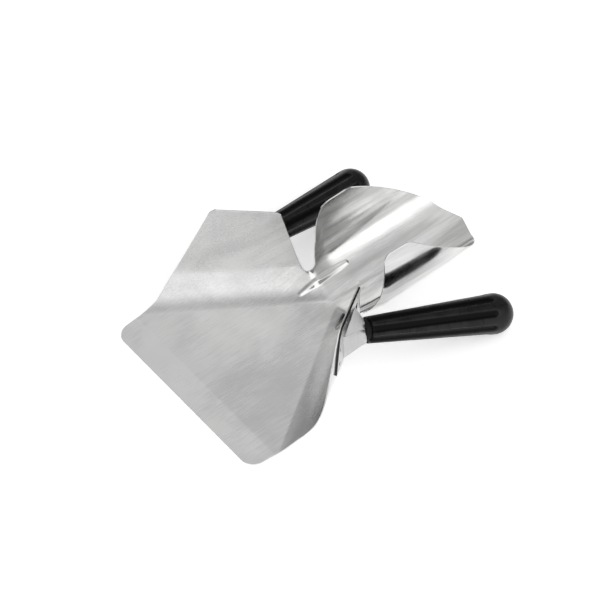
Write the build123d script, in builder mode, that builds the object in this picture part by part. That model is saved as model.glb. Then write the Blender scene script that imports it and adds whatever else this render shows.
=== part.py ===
from build123d import *
from math import asin, atan2, cos, degrees, radians, sin, tan
import os

# Two-handed chip scoop: one pressed stainless sheet with two upright ears and a
# chute, and a folded bracket on each ear that carries a fluted plastic grip.
# World frame: X runs from the front lip back to the chute, Z is up, and the table
# is Z = 0. The scoop stands on its front lip and on the butts of its two grips.
# The sheet is drawn in its own "pan" frame, which is pitched nose down.
# All lengths are millimetres and all angles are degrees.

# --- the sheet as a whole
SHEET = 1.0                 # sheet thickness
PITCH = 3.65                # nose-down pitch of the pan when it stands on a table
FRONT_X = -133.93           # world X of the front edge

# --- the pan: a flat triangle with a bend along each side
SIDE_ANGLE = 35.0           # each bend line's angle to the centreline
APEX_X = 145.5              # where the two bend lines would meet
BEND_RADIUS = 26.0          # inside radius of the bend up to the ear
EAR_LEAN = 5.0              # outward lean of the ear
LIP_DEPTH = 21.0            # depth of the lip band behind the front edge
LIP_DROP = 1.2              # downward angle of the lip band
FRONT_HALF_WIDTH = 83.5     # half the front edge, to the sharp corner
SIDE_X = 60.5               # where the side edge turns up the ear
SIDE_HALF_WIDTH = 88.2      # half width of the sheet there
CORNER_RADIUS = 12.0        # front corners of the pan
SIDE_RUN = 15.0             # the side edge's line is drawn on this far past the ear

# --- the chute
CHUTE_START_X = 163.0       # where the chute has its full section
CHUTE_END_X = 268.7         # end of the chute on the centreline
CHUTE_RISE = 3.0            # climb of the centre crease
CHUTE_FLAT_RISE = 3.0       # sideways climb of the floor away from the crease
CHUTE_HALF_WIDTH = 39.55    # half width that the bends would reach if they were full
CHUTE_BEND_RADIUS = 26.6    # height of the bend between floor and wall
CHUTE_BEND = 80.0           # angle that the bend turns through
CHUTE_WALL_RADIUS = 75.0    # above the bend the wall curves gently inward
CHUTE_FLAT_START = 2.2      # half width of the floor where the chute starts
CHUTE_FLAT_END = 12.2       # and at its end
CREASE_X = 152.6            # where the centre crease starts
END_CORNER = (258.5, 27.6)  # where the pointed end edge meets the wall

# --- pressed stiffening ribs beside the throat
RIB_Y = 22.7
RIB_PATH = ((128.5, 0.2), (142.0, 3.4), (172.5, 4.6))
RIB_RADIUS = 3.6

# --- side outline of the sheet: (x, height, corner radius) in the pan frame
EAR_FOOT_Z = 14.3
EAR_FRONT_TOP = (90.6, 77.4, 6.0)
EAR_REAR_TOP = (132.0, 69.2, 4.0)
NOTCH_FRONT = (139.2, 12.0, 3.0)
NOTCH_REAR = (149.4, 12.2, 4.5)
CHUTE_FRONT_FOOT = (156.8, 29.0, 12.0)
CHUTE_FRONT_TOP = (164.0, 66.3, 8.0)
CHUTE_TOP_END = (188.0, 66.3, 12.0)
CHUTE_TAIL_Z = 10.5

# --- the grips
GRIP_NECK = (125.8, 61.4, 36.6)   # centre of the grip's neck face, pan frame
GRIP_BUTT = (226.4, 84.9)         # centre of its round butt, pan frame X and Y
NECK_RADIUS = 10.4
BUTT_RADIUS = 15.5
NECK_ROUND = 1.4
FLUTES = 8
FLUTE_RADIUS = 4.4
FLUTE_DEPTH = 1.4
FLUTE_STOP = 7.0            # how far the flutes end short of the butt's centre
FLUTE_NOSE = 0.05           # flat left at the middle of a flute's round end

# --- the brackets
BRACKET_SHEET = 1.2
RING_THICKNESS = 4.4
RING_RADIUS = 8.2
POCKET_CORNER = 2.0
HOLLOW_CORNER = 1.2
WELD_RADIUS = 1.8
WELD_DEPTH = 0.35

# --- bracket outlines on the ear's outer face: forward from the apex, and up the ear
FLANGE = [(93, 6.5), (90.5, 46), (86, 52.2), (39, 44.8), (38.8, 27), (49, 20), (78, 4)]
POCKET = [(77, 5), (84.5, 37), (52, 41.5), (46, 4.5)]
HOLLOW = [(73.6, -4), (82.7, 35.8), (44, 41.2), (38, -4)]
WELDS = [(87, 14), (88, 31), (75, 45), (62, 44.3)]

# --- the pocket's end at the neck ring: outward from the grip's axis, and up
PLATE = [(11.3, -3.4), (4.2, 6.0), (-2.5, 11.2), (-9, -10.5)]
PLATE_HOLLOW = [(14.7, -9.9), (3.3, 5.1), (-8, 13.9), (-15, -16.5)]

# --- the M6 fixing of each grip
THREAD_RADIUS = 3.0
HOLE_RADIUS = 3.2
STUD_DEPTH = 30.0           # how deep the stud is moulded into the grip
STUD_ANCHOR_LENGTH = 8.0
STUD_ANCHOR_RADIUS = 5.0
STUD_TAIL = 1.4             # thread that shows past the nut
STUD_CHAMFER = 0.6
WASHER_THICKNESS = 1.0
WASHER_RADIUS = 5.4
NUT_HEIGHT = 3.2
NUT_ACROSS_FLATS = 10.0

# --- construction sizes that only have to be large enough
OVERRUN = 6.0
TOP_Z = 86.0
FAR = 100.0
THROAT_STEPS = 4            # sections from the pan to the chute
FIRST_CREASE = 0.01         # floor rise where the crease begins
SPARE = 0.5                 # extra thickness under the flat floor, cut off to leave planes
SPARE_SHARE = 0.95          # share of the floor's width that has it

COS_SIDE = cos(radians(SIDE_ANGLE))
SIN_SIDE = sin(radians(SIDE_ANGLE))
TAN_SIDE = tan(radians(SIDE_ANGLE))
PAN_END = APEX_X - CHUTE_FLAT_START / TAN_SIDE


def turn(x, y, z):
    """A direction of the pan frame, in the world frame."""
    pitch = radians(PITCH)
    return Vector(x * cos(pitch) - z * sin(pitch), y, x * sin(pitch) + z * cos(pitch))


LIP_FALL = LIP_DEPTH * tan(radians(LIP_DROP))
LIFT = (SHEET + LIP_FALL) * cos(radians(PITCH))


def place(x, y, z):
    """A point of the pan frame, in the world frame."""
    return Vector(FRONT_X, 0, LIFT) + turn(x, y, z)


def lerp(x, x0, x1, v0, v1):
    """The straight-line value at x between v0 at x0 and v1 at x1."""
    return v0 + (v1 - v0) * (x - x0) / (x1 - x0)


PAN = Plane(origin=place(0, 0, 0), x_dir=turn(1, 0, 0), z_dir=turn(0, 0, 1))
SIDE_VIEW = Plane(origin=place(0, 0, 0), x_dir=turn(1, 0, 0), z_dir=(0, -1, 0))


def station(x):
    """The cross-section plane at x: its own X is world Y and its own Y is up."""
    return Plane(origin=place(x, 0, 0), x_dir=(0, 1, 0), z_dir=turn(1, 0, 0))


def section_values(x):
    """Floor half width, crease height, floor rise, bend width and height, lean at its top."""
    pan_bend = BEND_RADIUS / COS_SIDE
    pan_lean = tan(radians(EAR_LEAN)) / COS_SIDE
    if x <= PAN_END:
        fall = max(0.0, LIP_DEPTH - x) * tan(radians(LIP_DROP))
        return (APEX_X - x) * TAN_SIDE, -fall, 0.0, pan_bend, BEND_RADIUS, pan_lean
    chute_lean = tan(radians(90 - CHUTE_BEND))
    if x < CHUTE_START_X:
        share = (x - PAN_END) / (CHUTE_START_X - PAN_END)
        bend = lerp(share, 0, 1, pan_bend, CHUTE_HALF_WIDTH - CHUTE_FLAT_START)
        crease = (CHUTE_START_X - CREASE_X) * tan(radians(CHUTE_RISE)) * share**2
        rise = tan(radians(CHUTE_FLAT_RISE)) * share
        height = lerp(share, 0, 1, BEND_RADIUS, CHUTE_BEND_RADIUS)
        return CHUTE_FLAT_START, crease, rise, bend, height, lerp(share, 0, 1, pan_lean, chute_lean)
    flat = lerp(x, CHUTE_START_X, CHUTE_END_X, CHUTE_FLAT_START, CHUTE_FLAT_END)
    crease = (x - CREASE_X) * tan(radians(CHUTE_RISE))
    bend = CHUTE_HALF_WIDTH - flat
    return flat, crease, tan(radians(CHUTE_FLAT_RISE)), bend, CHUTE_BEND_RADIUS, chute_lean


def sheet_section(x, skin, top, chute=False, spare=0.0):
    """One closed section at x, filled up to top: skin is how far outside the inner face."""
    flat, crease, rise, bend, height, lean = section_values(x)
    if chute:
        rise = max(rise, FIRST_CREASE)
    side = SHEET / COS_SIDE if x < APEX_X else SHEET
    floor = crease + rise * flat
    across = bend + skin * side / SHEET
    down = height + skin
    sweep = degrees(atan2(across, lean * down))
    with BuildSketch(station(x)) as section:
        with BuildLine():
            if spare:
                low = crease - skin - spare
                Polyline((0, low), (flat * SPARE_SHARE, low), (flat, floor - skin))
            else:
                Line((0, crease - skin), (flat, floor - skin))
            arc = EllipticalCenterArc(
                (flat, floor + height), across, down, start_angle=-90, arc_size=sweep
            )
            bend_end = arc @ 1
            if chute:
                wall_radius = CHUTE_WALL_RADIUS + skin
                start = atan2(lean, 1)
                finish = asin((top - bend_end.Y) / wall_radius - sin(start))
                wall = JernArc(bend_end, arc % 1, wall_radius, degrees(start + finish))
                wall_end = (wall @ 1).X
            else:
                wall_end = bend_end.X + lean * (top - bend_end.Y)
                Line(bend_end, (wall_end, top))
            mirror(about=Plane.YZ)
            Line((-wall_end, top), (wall_end, top))
        make_face()
    return section.sketch


def filled_form(skin, top, overrun, spare=0.0):
    """The scoop as a filled block in two lofts: the flat pan, then the creased chute."""
    stations = (-overrun, LIP_DEPTH, PAN_END)
    pan = [sheet_section(x, skin, top, spare=spare) for x in stations]
    loft(pan, ruled=True)
    throat = [lerp(i, 0, THROAT_STEPS, PAN_END, CHUTE_START_X) for i in range(THROAT_STEPS + 1)]
    stations = throat + [CHUTE_END_X + overrun]
    loft([sheet_section(x, skin, top, chute=True) for x in stations], ruled=True)


def rib_capsules(radius):
    """The pressed rib on each side, as round-ended bars of the given radius."""
    for side in (1, -1):
        points = [place(x, side * RIB_Y, z) for x, z in RIB_PATH]
        for start, finish in zip(points, points[1:]):
            run = finish - start
            with Locations(Plane(origin=start, z_dir=run)):
                Cylinder(
                    radius,
                    run.length,
                    align=(Align.CENTER, Align.CENTER, Align.MIN),
                    mode=Mode.SUBTRACT,
                )
        with Locations(*points):
            Sphere(radius, mode=Mode.SUBTRACT)


# --- scoop_body: the hollow is taken out of the filled outer form, ribs left standing
with BuildPart() as hollow:
    filled_form(0, TOP_Z + OVERRUN, 2 * OVERRUN)
    rib_capsules(RIB_RADIUS)

with BuildPart() as scoop_body:
    filled_form(SHEET, TOP_Z, OVERRUN, SPARE)
    add(hollow.part, mode=Mode.SUBTRACT)
    rib_capsules(RIB_RADIUS - SHEET)

    # plan outline: front edge, rounded corners, side edges and the pointed end
    end_x, end_y = END_CORNER
    end_slope = (CHUTE_END_X - end_x) / end_y
    with BuildSketch(PAN.offset(-FAR)):
        with BuildLine():
            FilletPolyline(
                (0, 0),
                (0, FRONT_HALF_WIDTH),
                (SIDE_X, SIDE_HALF_WIDTH),
                radius=CORNER_RADIUS,
            )
            Polyline(
                (SIDE_X, SIDE_HALF_WIDTH),
                (SIDE_X + SIDE_RUN, FAR),
                (CHUTE_END_X - end_slope * FAR, FAR),
                (CHUTE_END_X, 0),
            )
            mirror(about=Plane.XZ)
        make_face()
    extrude(amount=2 * FAR, mode=Mode.INTERSECT)

    # side outline: flat underside, ear, notch, chute wall and its long sloping tail
    ear_foot = (SIDE_X, EAR_FOOT_Z)
    corners = [
        EAR_FRONT_TOP,
        EAR_REAR_TOP,
        NOTCH_FRONT,
        NOTCH_REAR,
        CHUTE_FRONT_FOOT,
        CHUTE_FRONT_TOP,
        CHUTE_TOP_END,
    ]
    tail = (end_x, CHUTE_TAIL_Z)
    with BuildSketch(SIDE_VIEW):
        with BuildLine():
            FilletPolyline(
                ear_foot,
                *[(x, z) for x, z, radius in corners],
                tail,
                radius=[radius for x, z, radius in corners],
            )
            Polyline(
                tail,
                (CHUTE_END_X + OVERRUN, CHUTE_TAIL_Z),
                (CHUTE_END_X + OVERRUN, -SHEET),
                (LIP_DEPTH, -SHEET),
                (-OVERRUN, -SHEET - (LIP_DEPTH + OVERRUN) * tan(radians(LIP_DROP))),
                (-OVERRUN, EAR_FOOT_Z),
                ear_foot,
            )
        make_face()
    extrude(amount=FAR, both=True, mode=Mode.INTERSECT)

scoop_body.part.label = "scoop_body"
export_step(scoop_body.part, "parts/scoop_body.step")


# --- the grip's axis, from its neck to its butt, on the +Y side
neck = place(*GRIP_NECK)
butt_flat = place(*GRIP_BUTT, 0)
butt = Vector(butt_flat.X, butt_flat.Y, BUTT_RADIUS)
along = (butt - neck).normalized()
grip_run = (butt - neck).length
GRIP = Plane(origin=neck, x_dir=Vector(0, 0, 1).cross(along), z_dir=along)
LENGTHWISE = Plane(origin=neck, x_dir=GRIP.x_dir, z_dir=GRIP.y_dir * -1)
AXIS = Axis(neck, along)

# --- the grip's flutes: round-ended bars laid along the cone
flute_run = grip_run - FLUTE_STOP
flute_start = NECK_RADIUS + FLUTE_RADIUS - FLUTE_DEPTH
flute_finish = flute_start + (BUTT_RADIUS - NECK_RADIUS) * flute_run / grip_run
flute_cutters = []
for i in range(FLUTES):
    spoke = Vector(1, 0, 0).rotate(Axis.Z, i * 360 / FLUTES)
    start = GRIP.from_local_coords(spoke * flute_start)
    finish = GRIP.from_local_coords(spoke * flute_finish + Vector(0, 0, flute_run))
    run = finish - start
    with BuildPart(Plane(origin=start, z_dir=run)) as flute:
        with Locations((0, 0, run.length / 2 - OVERRUN)):
            Cylinder(FLUTE_RADIUS, run.length + 2 * OVERRUN)
        fillet(flute.edges().sort_by(Axis(start, run))[-1], FLUTE_RADIUS - FLUTE_NOSE)
    flute_cutters.append(flute.part)

# --- right_grip: a tapered moulding with a round butt, eight flutes and a blind bore
with BuildPart() as right_grip:
    with BuildSketch(LENGTHWISE):
        with BuildLine():
            l1 = Line((0, 0), (NECK_RADIUS - NECK_ROUND, 0))
            l2 = RadiusArc(l1 @ 1, (NECK_RADIUS, NECK_ROUND), -NECK_ROUND)
            l3 = Line(l2 @ 1, (BUTT_RADIUS, grip_run))
            l4 = RadiusArc(l3 @ 1, (0, grip_run + BUTT_RADIUS), -BUTT_RADIUS)
            Line(l4 @ 1, (0, 0))
        make_face()
    revolve(axis=AXIS)
    for cutter in flute_cutters:
        add(cutter, mode=Mode.SUBTRACT)
    with BuildSketch(GRIP):
        Circle(THREAD_RADIUS)
    extrude(amount=STUD_DEPTH, mode=Mode.SUBTRACT)
    with BuildSketch(GRIP.offset(STUD_DEPTH - STUD_ANCHOR_LENGTH)):
        RegularPolygon(STUD_ANCHOR_RADIUS, 6)
    extrude(amount=STUD_ANCHOR_LENGTH, mode=Mode.SUBTRACT)

# --- right_neck_ring: the dark ring between the bracket and the grip
with BuildPart() as right_neck_ring:
    with BuildSketch(GRIP.offset(-RING_THICKNESS)):
        Circle(RING_RADIUS)
        Circle(HOLE_RADIUS, mode=Mode.SUBTRACT)
    extrude(amount=RING_THICKNESS)

# --- right_stud: an M6 stud with a hexagonal anchor moulded into the grip
plate_back = -RING_THICKNESS - BRACKET_SHEET
nut_back = plate_back - WASHER_THICKNESS - NUT_HEIGHT
stud_start = nut_back - STUD_TAIL
with BuildPart() as right_stud:
    with BuildSketch(GRIP.offset(stud_start)):
        Circle(THREAD_RADIUS)
    extrude(amount=STUD_DEPTH - stud_start)
    with BuildSketch(GRIP.offset(STUD_DEPTH - STUD_ANCHOR_LENGTH)):
        RegularPolygon(STUD_ANCHOR_RADIUS, 6)
    extrude(amount=STUD_ANCHOR_LENGTH)
    chamfer(right_stud.edges().filter_by(GeomType.CIRCLE).sort_by(AXIS)[0], STUD_CHAMFER)

# --- right_lock_washer and right_nut, inside the hollow of the bracket
with BuildPart() as right_lock_washer:
    with BuildSketch(GRIP.offset(plate_back - WASHER_THICKNESS)):
        Circle(WASHER_RADIUS)
        Circle(THREAD_RADIUS, mode=Mode.SUBTRACT)
    extrude(amount=WASHER_THICKNESS)

with BuildPart() as right_nut:
    with BuildSketch(GRIP.offset(nut_back)):
        RegularPolygon(NUT_ACROSS_FLATS / 2, 6, major_radius=False)
        Circle(THREAD_RADIUS, mode=Mode.SUBTRACT)
    extrude(amount=NUT_HEIGHT)

# --- the outer face of the +Y ear: its own X runs forward from the apex, Y climbs it
ear_skin = BEND_RADIUS + SHEET
foot_out = ear_skin * cos(radians(EAR_LEAN))
foot_up = BEND_RADIUS - ear_skin * sin(radians(EAR_LEAN))
EAR_FACE = Plane(
    origin=place(APEX_X + foot_out * SIN_SIDE, foot_out * COS_SIDE, foot_up),
    x_dir=turn(-COS_SIDE, SIN_SIDE, 0),
    z_dir=turn(
        SIN_SIDE * cos(radians(EAR_LEAN)),
        COS_SIDE * cos(radians(EAR_LEAN)),
        -sin(radians(EAR_LEAN)),
    ),
)


def quad(plane, corners, radius):
    """One four-cornered section of the pocket, with its corners rounded."""
    with BuildSketch(plane) as outline:
        with BuildLine():
            Polyline(*corners, close=True)
        make_face()
        fillet(outline.vertices(), radius)
    return outline.sketch


# --- right_bracket: a flange on the ear, and a raised pocket with an end plate
with BuildPart() as right_bracket:
    foot = quad(EAR_FACE, POCKET, POCKET_CORNER)
    loft([foot, quad(GRIP.offset(-RING_THICKNESS), PLATE, POCKET_CORNER)], ruled=True)
    with BuildSketch(EAR_FACE):
        with BuildLine():
            Polyline(*FLANGE, close=True)
        make_face()
    extrude(amount=BRACKET_SHEET)
    foot = quad(EAR_FACE.offset(-SHEET), HOLLOW, HOLLOW_CORNER)
    end = quad(GRIP.offset(plate_back), PLATE_HOLLOW, HOLLOW_CORNER)
    loft([foot, end], ruled=True, mode=Mode.SUBTRACT)
    with BuildSketch(GRIP.offset(-RING_THICKNESS)):
        Circle(HOLE_RADIUS)
    extrude(amount=-2 * BRACKET_SHEET, mode=Mode.SUBTRACT)
    with BuildSketch(EAR_FACE.offset(BRACKET_SHEET)):
        with Locations(*WELDS):
            Circle(WELD_RADIUS)
    extrude(amount=-WELD_DEPTH, mode=Mode.SUBTRACT)

# --- both sides: the -Y pieces are mirror images of the +Y pieces
RIGHT_SIDE = {
    "bracket": right_bracket,
    "neck_ring": right_neck_ring,
    "grip": right_grip,
    "stud": right_stud,
    "lock_washer": right_lock_washer,
    "nut": right_nut,
}
for name, piece in RIGHT_SIDE.items():
    piece.part.label = "right_" + name
    export_step(piece.part, "parts/right_" + name + ".step")
    with BuildPart() as twin:
        mirror(piece.part, about=Plane.XZ)
    twin.part.label = "left_" + name
    export_step(twin.part, "parts/left_" + name + ".step")
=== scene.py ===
import math

import bmesh
import bpy
import numpy as np
from mathutils import Matrix, Vector
from mathutils.geometry import delaunay_2d_cdt


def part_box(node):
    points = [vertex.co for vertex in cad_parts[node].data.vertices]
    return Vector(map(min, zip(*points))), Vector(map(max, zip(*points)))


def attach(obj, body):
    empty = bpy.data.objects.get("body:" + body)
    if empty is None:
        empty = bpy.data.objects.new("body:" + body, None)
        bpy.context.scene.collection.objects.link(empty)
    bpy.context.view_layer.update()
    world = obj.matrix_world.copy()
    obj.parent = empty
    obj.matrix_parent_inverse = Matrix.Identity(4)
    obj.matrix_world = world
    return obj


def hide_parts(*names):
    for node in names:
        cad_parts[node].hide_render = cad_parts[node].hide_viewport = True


# Two-handed chip scoop: the looks. The sheet, the grips and their rings are rebuilt here
# as finer meshes inside the CAD's box. The brackets are smooth-shaded copies of the CAD's,
# and the fixings stay as packed.
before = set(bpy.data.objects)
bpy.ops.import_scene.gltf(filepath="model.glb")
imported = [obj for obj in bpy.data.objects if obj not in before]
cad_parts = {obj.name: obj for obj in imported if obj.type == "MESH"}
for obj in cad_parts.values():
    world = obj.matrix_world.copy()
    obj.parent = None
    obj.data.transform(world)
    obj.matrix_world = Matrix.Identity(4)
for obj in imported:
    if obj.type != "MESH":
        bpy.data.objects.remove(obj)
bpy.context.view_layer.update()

# ---------------------------------------------------------------- sizes, millimetres
MM = 0.001
SHEET = 1.0
PITCH = math.radians(3.65)
SIDE_ANGLE = math.radians(35.0)
APEX_X = 145.5
BEND_RADIUS = 26.0
EAR_LEAN = math.radians(5.0)
LIP_DEPTH = 21.0
LIP_DROP = math.radians(1.2)
FRONT_HALF_WIDTH = 83.5
SIDE_X = 60.5
SIDE_HALF_WIDTH = 88.2
CORNER_RADIUS = 12.0
CHUTE_START_X = 163.0
CHUTE_END_X = 268.7
CHUTE_RISE = math.radians(3.0)
CHUTE_FLAT_RISE = math.radians(4.5)
CHUTE_HALF_WIDTH = 39.55
CHUTE_BEND_RADIUS = 26.6
CHUTE_LEAN = math.radians(10.0)     # of the chute's wall at its foot
CHUTE_WALL_RADIUS = 75.0
FOLD = math.radians(9.0)    # each bend starts with a slight crisp fold
CHUTE_FLAT_START = 2.2
CHUTE_FLAT_END = 12.2
CREASE_X = 152.6
END_CORNER = (258.5, 27.6)
RIB_Y = 22.7
RIB_PATH = ((128.5, 0.2), (142.0, 3.4), (172.5, 4.6))
RIB_HALF_WIDTH = 4.7
RIB_HEIGHT = 1.0
RIB_END = 0.55              # how narrow the rib's ends are, against its middle
EAR_OUTLINE = (             # x, height and corner radius, from the ear's front to the tip
    (90.6, 77.4, 6.0),
    (132.0, 69.2, 4.0),
    (139.2, 12.0, 3.0),
    (149.4, 12.2, 4.5),
    (156.8, 29.0, 12.0),
    (164.0, 66.3, 8.0),
    (188.0, 66.3, 12.0),
    (258.5, 10.5, 0.0),
)
RIM_ROUND = 0.28

GRIP_NECK = (125.8, 61.4, 36.6)
GRIP_BUTT = (226.4, 84.9)
NECK_RADIUS = 10.4
BUTT_RADIUS = 15.5
NECK_ROUND = 1.4
FLUTES = 8
FLUTE_RADIUS = 4.4
FLUTE_DEPTH = 1.4
FLUTE_STOP = 7.0
RING_THICKNESS = 4.4
RING_RADIUS = 8.2
HOLE_RADIUS = 3.2
BRACKET_SHEET = 1.2
# the free edge of the bracket's flange on the ear: forward of the apex, and up the ear
FLANGE = ((93, 6.5), (90.5, 46), (86, 52.2), (39, 44.8))

COS_SIDE = math.cos(SIDE_ANGLE)
TAN_SIDE = math.tan(SIDE_ANGLE)
PAN_END = APEX_X - CHUTE_FLAT_START / TAN_SIDE
PAN_BEND = BEND_RADIUS / COS_SIDE
PAN_LEAN = math.tan(EAR_LEAN) / COS_SIDE
LIP_FALL = LIP_DEPTH * math.tan(LIP_DROP)
GIRTH = 29.0                # millimetres of girth for each radian of bend
BEND_EASE = 0.6             # radians over which the bend gives way to the wall

body_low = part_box("scoop_body")[0]
FRONT = np.array([
    body_low.x / MM - LIP_FALL * math.sin(PITCH),
    0.0,
    body_low.z / MM + (SHEET + LIP_FALL) * math.cos(PITCH),
])


def place(points):
    """Points of the pitched pan's frame, in the object's frame, both in millimetres."""
    p = np.asarray(points, float)
    x, y, z = p[..., 0], p[..., 1], p[..., 2]
    c, s = math.cos(PITCH), math.sin(PITCH)
    return np.stack([x * c - z * s, y, x * s + z * c], -1) + FRONT


def pitched(directions):
    """Directions of the pitched pan's frame, in the object's frame."""
    return place(directions) - place((0, 0, 0))


def unit(v):
    return v / np.linalg.norm(v, axis=-1, keepdims=True)


# ---------------------------------------------------------------- the sheet's surface
def sharp_section(x):
    """Floor half width, crease height, floor rise, bend width and height, the slope at
    the bend's top, the wall's curvature above it, and the bend's first angle."""
    share = np.clip((x - PAN_END) / (CHUTE_START_X - PAN_END), 0, 1)
    run = np.maximum(x - CHUTE_START_X, 0)
    widening = (CHUTE_FLAT_END - CHUTE_FLAT_START) / (CHUTE_END_X - CHUTE_START_X)
    flat = np.where(x <= PAN_END, (APEX_X - x) * TAN_SIDE, CHUTE_FLAT_START + run * widening)
    fall = np.maximum(0, LIP_DEPTH - x) * math.tan(LIP_DROP)
    climb = (CHUTE_START_X - CREASE_X) * share**2 + run
    start_bend = CHUTE_HALF_WIDTH - CHUTE_FLAT_START
    bend = PAN_BEND + (start_bend - PAN_BEND) * share - run * widening
    return np.stack([
        flat,
        climb * math.tan(CHUTE_RISE) - fall,
        share * math.tan(CHUTE_FLAT_RISE),
        bend,
        BEND_RADIUS + (CHUTE_BEND_RADIUS - BEND_RADIUS) * share,
        PAN_LEAN + (math.tan(CHUTE_LEAN) - PAN_LEAN) * share,
        share / CHUTE_WALL_RADIUS,
        FOLD * (1 - share),
    ])


def section(x):
    """The same, with its changes eased: crisp at the lip's fold and soft at the throat."""
    x = np.asarray(x, float)
    spread = np.interp(x, [60, 110], [0.7, 2.6])
    steps = np.linspace(-2, 2, 9)
    weights = np.exp(-steps**2 / 2)
    total = sum(w * sharp_section(x + spread * step) for w, step in zip(weights, steps))
    return total / weights.sum()


def plain_surface(x, s):
    """The inner face without its ribs: x along the scoop, s round it from the centreline."""
    flat, crease, rise, bend, height, lean, curve, fold = section(x)
    top = np.arctan2(bend, lean * height)
    free = np.maximum(fold + (s - flat) / GIRTH, fold)
    near = np.maximum(BEND_EASE - np.abs(top - free), 0)
    angle = np.minimum(free, top) - near**2 / BEND_EASE / 4
    past = GIRTH * (free - angle)
    across = (np.sin(angle) - np.sin(fold)) * np.sin(top) / (np.sin(top) - np.sin(fold))
    climb = (np.cos(fold) - np.cos(angle)) * (1 - np.cos(top)) / (np.cos(fold) - np.cos(top))
    tilt = np.arctan(lean)
    curve = np.maximum(curve, 1e-5)
    wall_y = (np.cos(tilt - curve * past) - np.cos(tilt)) / curve
    wall_z = (np.sin(tilt) - np.sin(tilt - curve * past)) / curve
    floor = np.minimum(s, flat)
    y = floor + bend * across + wall_y
    z = crease + rise * floor + height * climb + wall_z
    return np.stack([np.broadcast_to(x, y.shape), y, z], -1)


def normal_of(face, x, s, step=0.02):
    """The unit normal of a face, pointing into the hollow, by central differences."""
    low = np.maximum(s - step, 0)
    along = face(x + step, s) - face(x - step, s)
    across = face(x, s + step) - face(x, low)
    return unit(np.cross(along, across))


def rib_lift(points, normals):
    """How far each point is lifted along its normal to ride over the pressed rib."""
    path = [np.array([x, RIB_Y, z]) for x, z in RIB_PATH]
    best = np.full(len(points), 1e9)
    nearest = np.zeros_like(points)
    for a, b in zip(path, path[1:]):
        t = np.clip((points - a) @ (b - a) / ((b - a) @ (b - a)), 0, 1)
        foot = a + t[:, None] * (b - a)
        gap = np.linalg.norm(points - foot, axis=1)
        nearer = gap < best
        best = np.where(nearer, gap, best)
        nearest[nearer] = foot[nearer]
    along = (nearest[:, 0] - path[0][0]) / (path[-1][0] - path[0][0])
    half_width = RIB_HALF_WIDTH * (RIB_END + (1 - RIB_END) * np.sin(math.pi * along))
    away = points - nearest
    up = np.einsum("ij,ij->i", away, normals)
    beside = np.sqrt(np.maximum(np.einsum("ij,ij->i", away, away) - up**2, 0))
    height = RIB_HEIGHT * half_width / RIB_HALF_WIDTH
    return height * (1 + np.cos(math.pi * np.minimum(beside / half_width, 1))) / 2


def surface(x, s):
    """The inner face with its ribs."""
    points = plain_surface(x, s)
    normals = normal_of(plain_surface, x, s)
    return points + rib_lift(points, normals)[:, None] * normals


def solve_girth(x, wanted, axis, low, high):
    """The girth s at which the plain surface at x reaches a wanted y (1) or z (2)."""
    low, high = np.full(len(x), float(low)), np.full(len(x), float(high))
    for _ in range(40):
        middle = (low + high) / 2
        short = plain_surface(x, middle)[:, axis] < wanted
        low, high = np.where(short, middle, low), np.where(short, high, middle)
    return (low + high) / 2


# ---------------------------------------------------------------- the sheet's outline
def rounded(corners, step):
    """A line through (x, y, radius) corners with each corner rounded, in short steps."""
    points = [np.array(corners[0][:2], float)]
    for i in range(1, len(corners)):
        here = np.array(corners[i][:2], float)
        radius = corners[i][2] if i < len(corners) - 1 else 0
        arc = [here]
        if radius > 0:
            back = unit(np.array(corners[i - 1][:2], float) - here)
            ahead = unit(np.array(corners[i + 1][:2], float) - here)
            half = math.acos(np.clip(back @ ahead, -1, 1)) / 2
            centre = here + unit(back + ahead) * radius / math.sin(half)
            first = here + back * radius / math.tan(half) - centre
            last = here + ahead * radius / math.tan(half) - centre
            sweep = math.pi - 2 * half
            count = max(2, math.ceil(sweep * radius / step))
            turns = np.linspace(0, 1, count + 1)
            arc = [
                centre + (math.sin((1 - t) * sweep) * first + math.sin(t * sweep) * last)
                / math.sin(sweep)
                for t in turns
            ]
        run = arc[0] - points[-1]
        count = max(1, math.ceil(np.linalg.norm(run) / step))
        points += [points[-1] + run * k / count for k in range(1, count + 1)]
        points += arc[1:]
    return np.array(points)


def relaxed(points, corner, reach, rounds):
    """The line with its corner at the given point eased over a short reach."""
    points = points.copy()
    near = np.linalg.norm(points - corner, axis=1) < reach
    near[0] = near[-1] = False
    for _ in range(rounds):
        middle = (np.roll(points, 1, 0) + np.roll(points, -1, 0)) / 2
        points[near] = (points[near] + middle[near]) / 2
    return points


def sheet_outline(step=1.0):
    """The +Y half of the sheet's outline as (x, s), from the lip's middle to the tip."""
    plan = rounded(
        [(0, 0, 0), (0, FRONT_HALF_WIDTH, CORNER_RADIUS), (SIDE_X, SIDE_HALF_WIDTH, 0)], step
    )
    front = np.column_stack([plan[:, 0], solve_girth(plan[:, 0], plan[:, 1], 1, 0, 105)])
    foot_z = plain_surface(front[-1:, 0], front[-1:, 1])[0, 2]
    side = rounded([(SIDE_X, foot_z, 0), *EAR_OUTLINE], step)[1:]
    walls = np.column_stack([side[:, 0], solve_girth(side[:, 0], side[:, 1], 2, 0, 220)])
    end = rounded([(*END_CORNER, 0), (CHUTE_END_X, 0, 0)], step)[1:]
    tip = np.column_stack([end[:, 0], solve_girth(end[:, 0], end[:, 1], 1, 0, 60)])
    tip[-1, 1] = 0
    line = np.vstack([front, walls, tip])
    # the front corner runs into the ear in one long sweep
    line = relaxed(line, front[-1], 20.0, 260)
    return relaxed(line, walls[-1], 3.0, 12)


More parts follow.
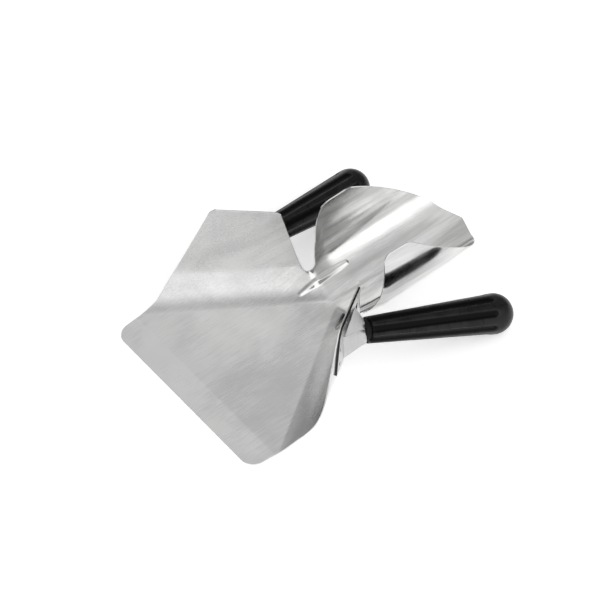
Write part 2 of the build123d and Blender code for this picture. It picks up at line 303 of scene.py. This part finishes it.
def inset(line, depth):
    """The half outline moved inward, its two ends kept on the centreline."""
    first = line[1] * (1, -1)
    last = line[-2] * (1, -1)
    padded = np.vstack([first, line, last])
    edges = unit(np.diff(padded, axis=0))
    left = np.column_stack([edges[:, 1], -edges[:, 0]])
    miter = unit(left[1:] + left[:-1])
    stretch = np.einsum("ij,ij->i", miter, left[1:])
    moved = line + miter * (depth / np.maximum(stretch, 0.5))[:, None]
    moved[[0, -1], 1] = 0
    return moved


def inside_line(points, line, clearance):
    """Which points lie inside the closed line and at least the clearance from it."""
    closed = np.vstack([line, line[:1]])
    a, b = closed[:-1], closed[1:]
    inside = np.zeros(len(points), bool)
    gap = np.full(len(points), 1e9)
    for p, q in zip(a, b):
        crosses = (p[1] > points[:, 1]) != (q[1] > points[:, 1])
        with np.errstate(divide="ignore", invalid="ignore"):
            at = p[0] + (points[:, 1] - p[1]) * (q[0] - p[0]) / (q[1] - p[1])
        inside ^= crosses & (points[:, 0] < at)
        run = q - p
        t = np.clip((points - p) @ run / max(run @ run, 1e-12), 0, 1)
        gap = np.minimum(gap, np.linalg.norm(points - p - t[:, None] * run, axis=1))
    return inside & (gap > clearance), gap


def hexagonal(x0, x1, s0, s1, pitch):
    """A triangular grid of (x, s) points."""
    rows = np.arange(s0, s1, pitch * math.sqrt(3) / 2)
    points = []
    for i, s in enumerate(rows):
        xs = np.arange(x0 + (i % 2) * pitch / 2, x1, pitch)
        points.append(np.column_stack([xs, np.full(len(xs), s)]))
    return np.vstack(points)


# ---------------------------------------------------------------- mesh helpers
def new_mesh(name, vertices, faces, normals=None, uv=None, attributes=None):
    """A smooth-shaded mesh object from points in millimetres of the object's frame."""
    mesh = bpy.data.meshes.new(name)
    mesh.from_pydata((np.asarray(vertices) * MM).tolist(), [], faces)
    mesh.polygons.foreach_set("use_smooth", [True] * len(mesh.polygons))
    loops = np.zeros(len(mesh.loops), np.int32)
    mesh.loops.foreach_get("vertex_index", loops)
    if uv is not None:
        layer = mesh.uv_layers.new(name="UVMap")
        layer.data.foreach_set("uv", np.asarray(uv, np.float32)[loops].ravel())
    for key, values in (attributes or {}).items():
        layer = mesh.attributes.new(key, "FLOAT", "POINT")
        layer.data.foreach_set("value", np.asarray(values, np.float32))
    mesh.update()
    if normals is not None:
        mesh.normals_split_custom_set_from_vertices(np.asarray(normals).tolist())
    thing = bpy.data.objects.new(name, mesh)
    bpy.context.scene.collection.objects.link(thing)
    return thing


def facing(face, vertices, normals):
    """The face's corners as plain numbers, in the order that faces along the normals."""
    a, b, c = (vertices[v] for v in (face[0], face[1], face[2]))
    agrees = np.cross(b - a, c - b) @ normals[face[0]] >= 0
    return [int(v) for v in (face if agrees else face[::-1])]


def hand_over(piece, slot, material, *nodes):
    """Give a piece its material and body, and let it stand for its CAD nodes."""
    piece.data.materials.clear()
    piece.data.materials.append(material)
    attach(piece, "root")
    if nodes:
        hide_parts(*nodes)
    return piece


# ---------------------------------------------------------------- the sheet's mesh
ROW_INSET = 1.1             # from the outline to the first row of points inside it
SPINE_STEP = 1.6            # between points on the centreline
COARSE, FINE = 1.7, 0.75    # the grid's pitch, and its pitch round the rib
CLEARANCE = 0.8             # kept free round the fence and round the fold rows
POLISH_START = 100.0        # the inside is satin up to here, and polished further back
POLISH_RUN = 45.0


def fold_rows(step=1.3, beside=0.75):
    """Rows of (x, s) points along the lip's fold and the bend line, to keep them crisp."""
    s = np.arange(1.4, 110, step)
    lip = [np.column_stack([np.full(len(s), LIP_DEPTH + d), s]) for d in (-beside, 0, beside)]
    x = np.arange(LIP_DEPTH + 3, PAN_END - 22, step)
    bend = []
    for d in (-beside, 0, beside):
        at = (APEX_X - x) * TAN_SIDE + d / COS_SIDE
        bend.append(np.column_stack([x, at]))
    return np.vstack(lip + bend)


def build_sheet():
    """The whole sheet: both skins and the rim of the +Y half, and their mirror image."""
    line = sheet_outline()
    row = inset(line, ROW_INSET)
    spine_x = np.arange(row[-1, 0] - SPINE_STEP, row[0, 0] + SPINE_STEP / 2, -SPINE_STEP)
    spine = np.column_stack([spine_x, np.zeros(len(spine_x))])
    fence = np.vstack([row, spine])
    coarse = hexagonal(0, CHUTE_END_X, 1.4, 160, COARSE)
    zone = (RIB_PATH[0][0] - 7, RIB_PATH[-1][0] + 7, RIB_Y - 9, RIB_Y + 14)
    in_zone = (
        (coarse[:, 0] > zone[0])
        & (coarse[:, 0] < zone[1])
        & (coarse[:, 1] > zone[2])
        & (coarse[:, 1] < zone[3])
    )
    fine = hexagonal(*zone, FINE)
    loose = np.vstack([coarse[~in_zone], fine])
    folds = fold_rows()
    gap = np.full(len(loose), 1e9)
    for chunk in np.array_split(np.arange(len(loose)), 24):
        reach = loose[chunk][:, None] - folds[None]
        gap[chunk] = np.sqrt((reach**2).sum(2).min(1))
    loose = np.vstack([loose[gap > CLEARANCE], folds])
    keep, _ = inside_line(loose, fence, CLEARANCE)
    loose = loose[keep]
    points = np.vstack([fence, loose])
    made = delaunay_2d_cdt(
        [Vector(p) for p in points], [], [list(range(len(fence)))], 1, 1e-6, True
    )
    origin = [ids[0] for ids in made[3]]
    triangles = np.array([[origin[v] for v in face] for face in made[2]])
    triangles = triangles[inside_line(points[triangles].mean(1), fence, 1e-4)[0]]
    a, b, c = (points[triangles[:, i]] for i in range(3))
    area = (b[:, 0] - a[:, 0]) * (c[:, 1] - a[:, 1]) - (b[:, 1] - a[:, 1]) * (c[:, 0] - a[:, 0])
    triangles[area < 0] = triangles[area < 0][:, ::-1]

    # the inner and outer skins of the +Y half
    normals = normal_of(surface, points[:, 0], points[:, 1])
    normals[points[:, 1] < 1e-9, 1] = 0
    normals = unit(normals)
    skin = surface(points[:, 0], points[:, 1])
    edge_skin = surface(line[:, 0], line[:, 1])
    edge_normals = normal_of(surface, line[:, 0], line[:, 1])
    edge_normals[[0, -1], 1] = 0
    edge_normals = unit(edge_normals)
    mirrored = edge_skin * (1, -1, 1)
    padded = np.vstack([mirrored[1], edge_skin, mirrored[-2]])
    outward = unit(np.cross(edge_normals, padded[2:] - padded[:-2]))
    inward = skin[: len(line)] - edge_skin
    outward *= -np.sign(np.einsum("ij,ij->i", outward, inward))[:, None]
    outward[[0, -1], 1] = 0
    outward = unit(outward)

    # the rim: a small round between the skins along the whole outline
    r = RIM_ROUND
    profile = [(-r, 0.0, 0.0)]
    profile += [(-r + r * math.sin(t), -r + r * math.cos(t), t) for t in (0.8, math.pi / 2)]
    profile += [
        (-r + r * math.sin(t), -(SHEET - r) + r * math.cos(t), t) for t in (math.pi / 2, 2.34)
    ]
    profile += [(-r, -SHEET, math.pi)]
    rings = []
    ring_normals = []
    for out, up, t in profile:
        rings.append(edge_skin + out * outward + up * edge_normals)
        ring_normals.append(math.sin(t) * outward + math.cos(t) * edge_normals)

    count, width = len(points), len(line)
    vertices = np.vstack([skin, skin - SHEET * normals, *rings])
    all_normals = np.vstack([normals, -normals, *ring_normals])
    uv = np.vstack([points, points, *[line] * len(rings)])
    _, gap = inside_line(points, np.vstack([line, spine]), 0)
    to_edge = np.where(points[:, 1] < 1e-9, 50.0, gap)
    rim = np.concatenate([np.exp(-to_edge / 1.5)] * 2 + [np.ones(width)] * len(rings))
    outer = np.concatenate([np.zeros(count), np.ones(count)] + [
        np.full(width, k / (len(rings) - 1)) for k in range(len(rings))
    ])
    start = 2 * count
    faces = [list(t) for t in triangles]
    faces += [[v + count for v in t[::-1]] for t in triangles]
    last = start + (len(rings) - 1) * width
    for i in range(width - 1):
        # the fence's first points are the inset row, one for each outline point
        faces.append([i, start + i, start + i + 1, i + 1])
        faces.append([count + i + 1, last + i + 1, last + i, count + i])
        for k in range(len(rings) - 1):
            low = start + k * width + i
            faces.append([low, low + width, low + width + 1, low + 1])

    # the -Y half shares the vertices on the centreline
    on_line = np.abs(vertices[:, 1]) < 1e-9
    partner = np.where(on_line, np.arange(len(vertices)), 0)
    partner[~on_line] = len(vertices) + np.arange((~on_line).sum())
    vertices = np.vstack([vertices, vertices[~on_line] * (1, -1, 1)])
    all_normals = np.vstack([all_normals, all_normals[~on_line] * (1, -1, 1)])
    uv = np.vstack([uv, uv[~on_line] * (1, -1)])
    rim = np.concatenate([rim, rim[~on_line]])
    outer = np.concatenate([outer, outer[~on_line]])
    faces += [[partner[v] for v in face[::-1]] for face in faces]
    faces = [facing(face, vertices, all_normals) for face in faces]
    turned = unit(pitched(all_normals))
    inside_polish = np.clip((uv[:, 0] - POLISH_START) / POLISH_RUN, 0, 1)
    # this attribute sets the polish and also masks the painted reflection streaks
    polish = np.where(outer > 0.5, 1.0, inside_polish**2 * (3 - 2 * inside_polish))
    # painted highlight: the lip's bent strip is marked to be coloured lighter, as if lit
    band = np.clip((LIP_DEPTH + 0.6 - uv[:, 0]) / 1.2, 0, 1)
    attributes = {"rim": rim, "polish": polish, "band": band}
    return new_mesh("sheet", place(vertices), faces, turned, uv * MM, attributes)


# ---------------------------------------------------------------- lathe work on the grip axis
def grip_frame():
    """The +Y grip's neck, its axis, two directions across it, and the axis's length."""
    neck = place(GRIP_NECK)
    butt = place([*GRIP_BUTT, 0])
    butt[2] = BUTT_RADIUS
    along = unit(butt - neck)
    out = unit(np.cross([0, 0, 1], along))
    up = np.cross(along, out)
    return neck, along, out, up, np.linalg.norm(butt - neck)


def lathe(name, side, profile, turns, depth=None, cap_end=False):
    """A turned piece on a grip's axis. depth(angle, along, radius) sinks its surface."""
    neck, along, out, up, _ = grip_frame()
    angles = np.linspace(0, 2 * math.pi, turns, endpoint=False)
    vertices, uv, sunk = [], [], []
    for at, radius in profile:
        sink = depth(angles, at, radius) if depth else np.zeros(turns)
        sunk.append(sink)
        reach = (radius - sink)[:, None]
        ring = neck + along * at + reach * (
            np.cos(angles)[:, None] * out + np.sin(angles)[:, None] * up
        )
        vertices.append(ring)
        uv.append(np.column_stack([np.full(turns, at), angles * radius]))
    faces = []
    for k in range(len(profile) - 1):
        for i in range(turns):
            j = (i + 1) % turns
            a, b = k * turns, (k + 1) * turns
            faces.append([a + i, a + j, b + j, b + i])
    if cap_end:
        faces.append([(len(profile) - 1) * turns + i for i in range(turns)])
    vertices = np.vstack(vertices)
    uv = np.vstack(uv)
    if side < 0:
        vertices = vertices * (1, -1, 1)
        faces = [face[::-1] for face in faces]
    return new_mesh(name, vertices, faces, None, uv * MM, {"sunk": np.concatenate(sunk)})


def flute_depth(angles, at, radius):
    """How deep the flutes are cut at a distance along the grip."""
    run = grip_frame()[4]
    spoke = np.arange(FLUTES) * 2 * math.pi / FLUTES
    turn = (angles[:, None] - spoke + math.pi) % (2 * math.pi) - math.pi
    beside = np.abs(turn * radius)
    past = max(0.0, at - (run - FLUTE_STOP))
    reach = np.sqrt(beside**2 + past**2)
    cut = np.sqrt(np.maximum(FLUTE_RADIUS**2 - reach**2, 0)) - (FLUTE_RADIUS - FLUTE_DEPTH)
    cut = np.where(reach < FLUTE_RADIUS, cut, -1 - reach)
    ease = 0.25
    blend = np.maximum(ease - np.abs(cut), 0) / ease
    return (np.maximum(cut, 0) + blend**2 * ease / 4).max(1)


def grip_profile():
    """The grip's (distance along, radius) from its neck to the middle of its butt."""
    run = grip_frame()[4]
    profile = [(0.0, HOLE_RADIUS)]
    for t in np.linspace(0, math.pi / 2, 7):
        at = NECK_ROUND * (1 - math.cos(t))
        profile.append((at, NECK_RADIUS - NECK_ROUND * (1 - math.sin(t))))
    for at in np.linspace(NECK_ROUND, run, 120)[1:]:
        profile.append((at, NECK_RADIUS + (BUTT_RADIUS - NECK_RADIUS) * at / run))
    for t in np.linspace(0, math.pi / 2, 26)[1:-1]:
        profile.append((run + BUTT_RADIUS * math.sin(t), BUTT_RADIUS * math.cos(t)))
    return profile


def ring_profile():
    """The neck ring's (distance along, radius), a hair clear of what it sits between."""
    r, round_off = RING_RADIUS, 0.5
    back, front = -RING_THICKNESS + 0.02, -0.02
    profile = [(back, HOLE_RADIUS)]
    for t in np.linspace(0, math.pi / 2, 5):
        profile.append((back + round_off * (1 - math.cos(t)), r - round_off * (1 - math.sin(t))))
    for t in np.linspace(0, math.pi / 2, 5):
        profile.append((front - round_off * (1 - math.sin(t)), r - round_off * (1 - math.cos(t))))
    profile.append((front, HOLE_RADIUS))
    return profile


# ---------------------------------------------------------------- the brackets
def ear_face(side):
    """The ear's outer face: its apex, and its forward, upward and outward directions."""
    skin = BEND_RADIUS + SHEET
    out = skin * math.cos(EAR_LEAN)
    up = BEND_RADIUS - skin * math.sin(EAR_LEAN)
    point = place([APEX_X + out * math.sin(SIDE_ANGLE), out * COS_SIDE, up])
    lean = math.cos(EAR_LEAN)
    forward = pitched([-COS_SIDE, math.sin(SIDE_ANGLE), 0])
    outward = pitched([math.sin(SIDE_ANGLE) * lean, COS_SIDE * lean, -math.sin(EAR_LEAN)])
    frame_axes = np.array([forward, np.cross(outward, forward), outward])
    return point * (1, side, 1), frame_axes * (1, side, 1)


def shaded_copy(name, node, side):
    """A smooth-shaded copy of a CAD bracket with its seams welded. Its "cut" attribute
    marks the cut edges of the flange, which lies on the ear, for painted shade: the
    material colours them near black for the shadow in the gap along the ear."""
    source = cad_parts[node].data
    mesh = bpy.data.meshes.new(name)
    work = bmesh.new()
    work.from_mesh(source)
    bmesh.ops.remove_doubles(work, verts=work.verts, dist=2e-6)
    work.to_mesh(mesh)
    work.free()
    point, axes = ear_face(side)
    cut = []
    for face in mesh.polygons:
        at = axes @ (np.array(face.center) / MM - point)
        flat = abs(axes[2] @ np.array(face.normal)) < 0.25 and 0 < at[2] < BRACKET_SHEET
        gap = 1e9
        for p, q in zip(np.array(FLANGE), np.array(FLANGE[1:])):
            t = np.clip((at[:2] - p) @ (q - p) / ((q - p) @ (q - p)), 0, 1)
            gap = min(gap, np.linalg.norm(at[:2] - p - t * (q - p)))
        cut.append(flat and gap < 0.2)
    layer = mesh.attributes.new("cut", "FLOAT", "FACE")
    layer.data.foreach_set("value", np.array(cut, np.float32))
    mesh.polygons.foreach_set("use_smooth", [True] * len(mesh.polygons))
    mesh.set_sharp_from_angle(angle=math.radians(32))
    thing = bpy.data.objects.new(name, mesh)
    bpy.context.scene.collection.objects.link(thing)
    flat = thing.modifiers.new("flat", "WEIGHTED_NORMAL")
    flat.keep_sharp = True
    flat.weight = 100
    return thing


# ---------------------------------------------------------------- materials
class Nodes:
    """Short names for building a material's node tree."""

    def __init__(self, name):
        self.material = bpy.data.materials.new(name)
        self.material.use_nodes = True
        self.tree = self.material.node_tree
        self.tree.nodes.clear()
        self.output = self.tree.nodes.new("ShaderNodeOutputMaterial")
        self.shader = self.tree.nodes.new("ShaderNodeBsdfPrincipled")
        self.tree.links.new(self.shader.outputs[0], self.output.inputs[0])

    def link(self, source, node, socket):
        self.tree.links.new(source, node.inputs[socket])

    def where(self, kind="Object"):
        return self.tree.nodes.new("ShaderNodeTexCoord").outputs[kind]

    def attribute(self, name):
        node = self.tree.nodes.new("ShaderNodeAttribute")
        node.attribute_name = name
        return node.outputs["Fac"]

    def stretched(self, where, scale, turn=(0, 0, 0)):
        node = self.tree.nodes.new("ShaderNodeMapping")
        node.inputs["Scale"].default_value = scale
        node.inputs["Rotation"].default_value = turn
        self.link(where, node, "Vector")
        return node.outputs[0]

    def noise(self, where, scale, detail=3.0, roughness=0.5, distortion=0.0):
        node = self.tree.nodes.new("ShaderNodeTexNoise")
        node.inputs["Scale"].default_value = scale
        node.inputs["Detail"].default_value = detail
        node.inputs["Roughness"].default_value = roughness
        node.inputs["Distortion"].default_value = distortion
        self.link(where, node, "Vector")
        return node.outputs["Fac"]

    def ramp(self, value, low, high, to_low=0.0, to_high=1.0):
        node = self.tree.nodes.new("ShaderNodeMapRange")
        node.interpolation_type = "SMOOTHSTEP"
        node.inputs["From Min"].default_value = low
        node.inputs["From Max"].default_value = high
        node.inputs["To Min"].default_value = to_low
        node.inputs["To Max"].default_value = to_high
        self.link(value, node, "Value")
        return node.outputs[0]

    def math(self, kind, a, b):
        node = self.tree.nodes.new("ShaderNodeMath")
        node.operation = kind
        for socket, value in ((0, a), (1, b)):
            if isinstance(value, (int, float)):
                node.inputs[socket].default_value = value
            else:
                self.link(value, node, socket)
        return node.outputs[0]

    def tint(self, factor, dark, light):
        node = self.tree.nodes.new("ShaderNodeMix")
        node.data_type = "RGBA"
        node.inputs["A"].default_value = (*dark, 1)
        node.inputs["B"].default_value = (*light, 1)
        self.link(factor, node, "Factor")
        return node.outputs["Result"]

    def shade(self, factor, colour, dark):
        node = self.tree.nodes.new("ShaderNodeMix")
        node.data_type = "RGBA"
        node.inputs["B"].default_value = (*dark, 1)
        self.link(colour, node, "A")
        self.link(factor, node, "Factor")
        return node.outputs["Result"]

    def bump(self, height, strength, distance, below=None):
        node = self.tree.nodes.new("ShaderNodeBump")
        node.inputs["Strength"].default_value = strength
        node.inputs["Distance"].default_value = distance
        self.link(height, node, "Height")
        if below is not None:
            self.link(below, node, "Normal")
        return node.outputs[0]


def steel(name, grain, dark, light, rough, polished, wave, polish=None, band=None, cut=None):
    """Stainless with a stretched grain, smudges, scuffs and slight waves. Roughness runs
    from the satin value to the polished one as the polish attribute rises, and the same
    attribute masks painted reflections: broad dark streaks along the polished chute. A
    second attribute marks the lip's bent strip, which gets a painted highlight: it is
    coloured lighter, as if lit. The cut attribute marks the flange's cut edges, which get
    painted shade: they are coloured near black, for the shadow in the gap along the ear."""
    n = Nodes(name)
    here = n.where("Object")
    streaks = n.noise(n.stretched(here, grain), 1.0, 4.0, 0.6)
    clouds = n.noise(here, 17.0, 3.0, 0.5, 0.8)
    smudges = n.ramp(n.noise(here, 30.0, 2.5, 0.5, 1.2), 0.4, 0.75)
    scuffed = n.noise(n.stretched(here, (160, 24, 90), (0, 0, 0.9)), 1.0, 1.5, 0.5)
    scuffs = n.ramp(scuffed, 0.55, 0.85)
    tone = n.math("ADD", n.math("MULTIPLY", streaks, 0.35), n.math("MULTIPLY", clouds, 0.65))
    lighter = n.ramp(tone, 0.35, 0.65)
    # painted highlight: the lip's bent strip is coloured lighter, as if lit
    if band:
        lighter = n.math("ADD", lighter, n.math("MULTIPLY", n.attribute(band), 0.35))
    colour = n.tint(lighter, dark, light)
    if polish:
        # painted reflection: broad dark streaks coloured along the polished chute
        reflection_streak_noise = n.noise(n.stretched(n.where("UV"), (10, 130, 1)), 1.0, 2.0, 0.5)
        painted_reflection_streaks = n.math("MULTIPLY", n.ramp(reflection_streak_noise, 0.42, 0.62), n.attribute(polish))
        colour = n.shade(n.math("MULTIPLY", painted_reflection_streaks, 0.55), colour, (0.47, 0.465, 0.455))
    # painted shade: the flange's cut edges are coloured near black for the shadow in the gap
    # along the ear
    if cut:
        colour = n.shade(n.attribute(cut), colour, (0.035, 0.034, 0.033))
    n.link(colour, n.shader, "Base Color")
    base = n.ramp(n.attribute(polish), 0, 1, rough, polished) if polish else rough
    level = n.math("ADD", n.ramp(tone, 0.3, 0.7, -0.035, 0.035), base)
    level = n.math("ADD", level, n.math("MULTIPLY", smudges, 0.06))
    level = n.math("ADD", level, n.math("MULTIPLY", scuffs, 0.04))
    n.link(level, n.shader, "Roughness")
    n.shader.inputs["Metallic"].default_value = 1.0
    waves = n.bump(n.noise(here, 34.0, 1.0, 0.4), 1.0, wave)
    n.link(n.bump(streaks, 0.18, 0.00002, waves), n.shader, "Normal")
    return n.material


def plastic(name):
    """Black moulded plastic with a fine texture, dull where it is handled, and with painted
    shade in the flutes: their colour and reflection are darkened as they sink."""
    n = Nodes(name)
    here = n.where("Object")
    grain = n.noise(here, 2600.0, 2.0, 0.5)
    handled = n.ramp(n.noise(here, 70.0, 4.0, 0.6, 0.8), 0.35, 0.7)
    # painted shade: the sunk flutes get a darker colour and a weaker reflection
    unshaded_lands = n.ramp(n.attribute("sunk"), 0.1, 0.9, 1.0, 0.0)
    handled_and_groove_shade = n.math("MULTIPLY", n.math("ADD", n.math("MULTIPLY", handled, 0.4), 0.6), unshaded_lands)
    n.link(n.tint(handled_and_groove_shade, (0.0015, 0.0015, 0.0015), (0.011, 0.011, 0.011)), n.shader, "Base Color")
    n.link(n.math("ADD", n.math("MULTIPLY", handled_and_groove_shade, 0.35), 0.2), n.shader, "Specular IOR Level")
    n.link(n.math("ADD", n.math("MULTIPLY", handled, 0.12), 0.24), n.shader, "Roughness")
    n.link(n.bump(grain, 0.12, 0.00003), n.shader, "Normal")
    n.shader.inputs["IOR"].default_value = 1.3
    return n.material


def rubber(name):
    """Dull black rubber."""
    n = Nodes(name)
    here = n.where("Object")
    grain = n.noise(here, 1800.0, 3.0, 0.6)
    n.link(n.tint(grain, (0.003, 0.003, 0.003), (0.006, 0.006, 0.006)), n.shader, "Base Color")
    n.link(n.ramp(grain, 0.3, 0.7, 0.5, 0.65), n.shader, "Roughness")
    n.shader.inputs["Specular IOR Level"].default_value = 0.2
    n.link(n.bump(grain, 0.2, 0.00004), n.shader, "Normal")
    return n.material


def plain_floor(name):
    """A white floor that glows a little, so that only contact shadows show on it."""
    n = Nodes(name)
    here = n.where("Object")
    drift = n.noise(here, 2.0, 2.0, 0.5)
    n.link(n.tint(drift, (0.88, 0.88, 0.88), (0.90, 0.90, 0.90)), n.shader, "Base Color")
    n.shader.inputs["Roughness"].default_value = 0.9
    n.shader.inputs["Emission Color"].default_value = (1, 1, 1, 1)
    n.shader.inputs["Emission Strength"].default_value = 0.48
    return n.material


# ---------------------------------------------------------------- the object
sheet_steel = steel(
    "sheet_steel", (30, 900, 900), (0.60, 0.60, 0.60), (0.78, 0.78, 0.775), 0.27, 0.14,
    0.0002, "polish", "band",
)
bracket_steel = steel(
    "bracket_steel", (700, 700, 40), (0.47, 0.47, 0.47), (0.60, 0.60, 0.595), 0.24, 0.24, 0.0002,
    cut="cut",
)
fixing_steel = steel(
    "fixing_steel", (500, 500, 500), (0.50, 0.50, 0.48), (0.60, 0.60, 0.58), 0.34, 0.34, 0.00005
)
grip_plastic = plastic("grip_plastic")
ring_rubber = rubber("ring_rubber")

hand_over(build_sheet(), "sheet", sheet_steel, "scoop_body")
for side, word in ((1, "right"), (-1, "left")):
    hand_over(
        lathe(word + "_handle", side, grip_profile(), 192, flute_depth, cap_end=True),
        "grip", grip_plastic, word + "_grip",
    )
    hand_over(
        lathe(word + "_ring", side, ring_profile(), 96), "ring", ring_rubber, word + "_neck_ring"
    )
    hand_over(
        shaded_copy(word + "_folded_bracket", word + "_bracket", side),
        "bracket", bracket_steel, word + "_bracket",
    )
    for part in ("stud", "lock_washer", "nut"):
        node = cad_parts[word + "_" + part]
        node.data.materials.clear()
        node.data.materials.append(fixing_steel)

# ---------------------------------------------------------------- floor, light and camera
floor = new_mesh(
    "floor",
    [(-4000, -4000, -0.05), (4000, -4000, -0.05), (4000, 4000, -0.05), (-4000, 4000, -0.05)],
    [(0, 1, 2, 3)],
)
floor.data.materials.append(plain_floor("floor_white"))


def soft_light(name, place_m, aim_m, size, power):
    """A soft rectangular lamp that looks at a point."""
    lamp = bpy.data.lights.new(name, "AREA")
    lamp.shape = "RECTANGLE"
    lamp.size, lamp.size_y = size
    lamp.energy = power
    thing = bpy.data.objects.new(name, lamp)
    bpy.context.scene.collection.objects.link(thing)
    thing.location = place_m
    thing.rotation_euler = (Vector(aim_m) - Vector(place_m)).to_track_quat("-Z", "Y").to_euler()


def direction(azimuth, elevation):
    """The unit vector towards a compass angle from +X and a height, both in degrees."""
    a, e = math.radians(azimuth), math.radians(elevation)
    return Vector((math.cos(a) * math.cos(e), math.sin(a) * math.cos(e), math.sin(e)))


def studio(name, base, lobes):
    """A plain soft surround: an even level with broad soft-edged patches added to it,
    each given as its direction, the angles of its inner and outer edge, and its gain."""
    world = bpy.data.worlds.new(name)
    world.use_nodes = True
    tree = world.node_tree
    where = tree.nodes.new("ShaderNodeTexCoord")
    level = None
    for towards, inner, outer, gain in lobes:
        dot = tree.nodes.new("ShaderNodeVectorMath")
        dot.operation = "DOT_PRODUCT"
        dot.inputs[1].default_value = towards
        tree.links.new(where.outputs["Generated"], dot.inputs[0])
        patch = tree.nodes.new("ShaderNodeMapRange")
        patch.interpolation_type = "SMOOTHSTEP"
        patch.inputs["From Min"].default_value = math.cos(math.radians(outer))
        patch.inputs["From Max"].default_value = math.cos(math.radians(inner))
        patch.inputs["To Max"].default_value = gain
        tree.links.new(dot.outputs["Value"], patch.inputs["Value"])
        added = tree.nodes.new("ShaderNodeMath")
        added.inputs[0].default_value = base
        if level is not None:
            tree.links.new(level, added.inputs[0])
        tree.links.new(patch.outputs[0], added.inputs[1])
        level = added.outputs[0]
    tree.nodes["Background"].inputs["Color"].default_value = (1, 1, 1, 1)
    tree.links.new(level, tree.nodes["Background"].inputs["Strength"])
    bpy.context.scene.world = world


studio("studio", 0.30, (
    (direction(0, 90), 5, 45, 0.24),
    (direction(-112, 22), 28, 78, 0.82),
    (direction(-78, 48), 5, 28, 0.52),
    (direction(60, 57), 5, 19, 0.40),
    (direction(2, 66), 6, 20, 0.28),
    (direction(62, 28), 6, 21, 0.50),
))
middle = Vector((0.02, 0, 0.03))
soft_light("key", middle + direction(-76, 52) * 1.6, middle, (1.3, 1.3), 1.6)

# the camera's heading and height, its place from the front edge's middle in millimetres
# to its right, up and back, and its lens
AZIMUTH = math.radians(-37.96)
ELEVATION = math.radians(46.75)
EYE_RIGHT, EYE_UP, EYE_BACK = 86.68, 72.35, 1901.6
FOCAL_LENGTH = 156.2
right = np.array([math.cos(AZIMUTH), math.sin(AZIMUTH), 0])
back = np.array([
    math.sin(AZIMUTH) * math.cos(ELEVATION),
    -math.cos(AZIMUTH) * math.cos(ELEVATION),
    math.sin(ELEVATION),
])
up = np.cross(back, right)
eye = (FRONT + EYE_RIGHT * right + EYE_UP * up + EYE_BACK * back) * MM
lens = bpy.data.cameras.new("camera")
lens.sensor_width = 36
lens.lens = FOCAL_LENGTH
lens.clip_start, lens.clip_end = 0.05, 20
camera = bpy.data.objects.new("camera", lens)
bpy.context.scene.collection.objects.link(camera)
turn = Matrix([[right[i], up[i], back[i]] for i in range(3)]).to_4x4()
camera.matrix_world = Matrix.Translation(Vector(eye)) @ turn
bpy.context.scene.camera = camera

view = bpy.context.scene.view_settings
view.view_transform = "Standard"
view.look = "None"
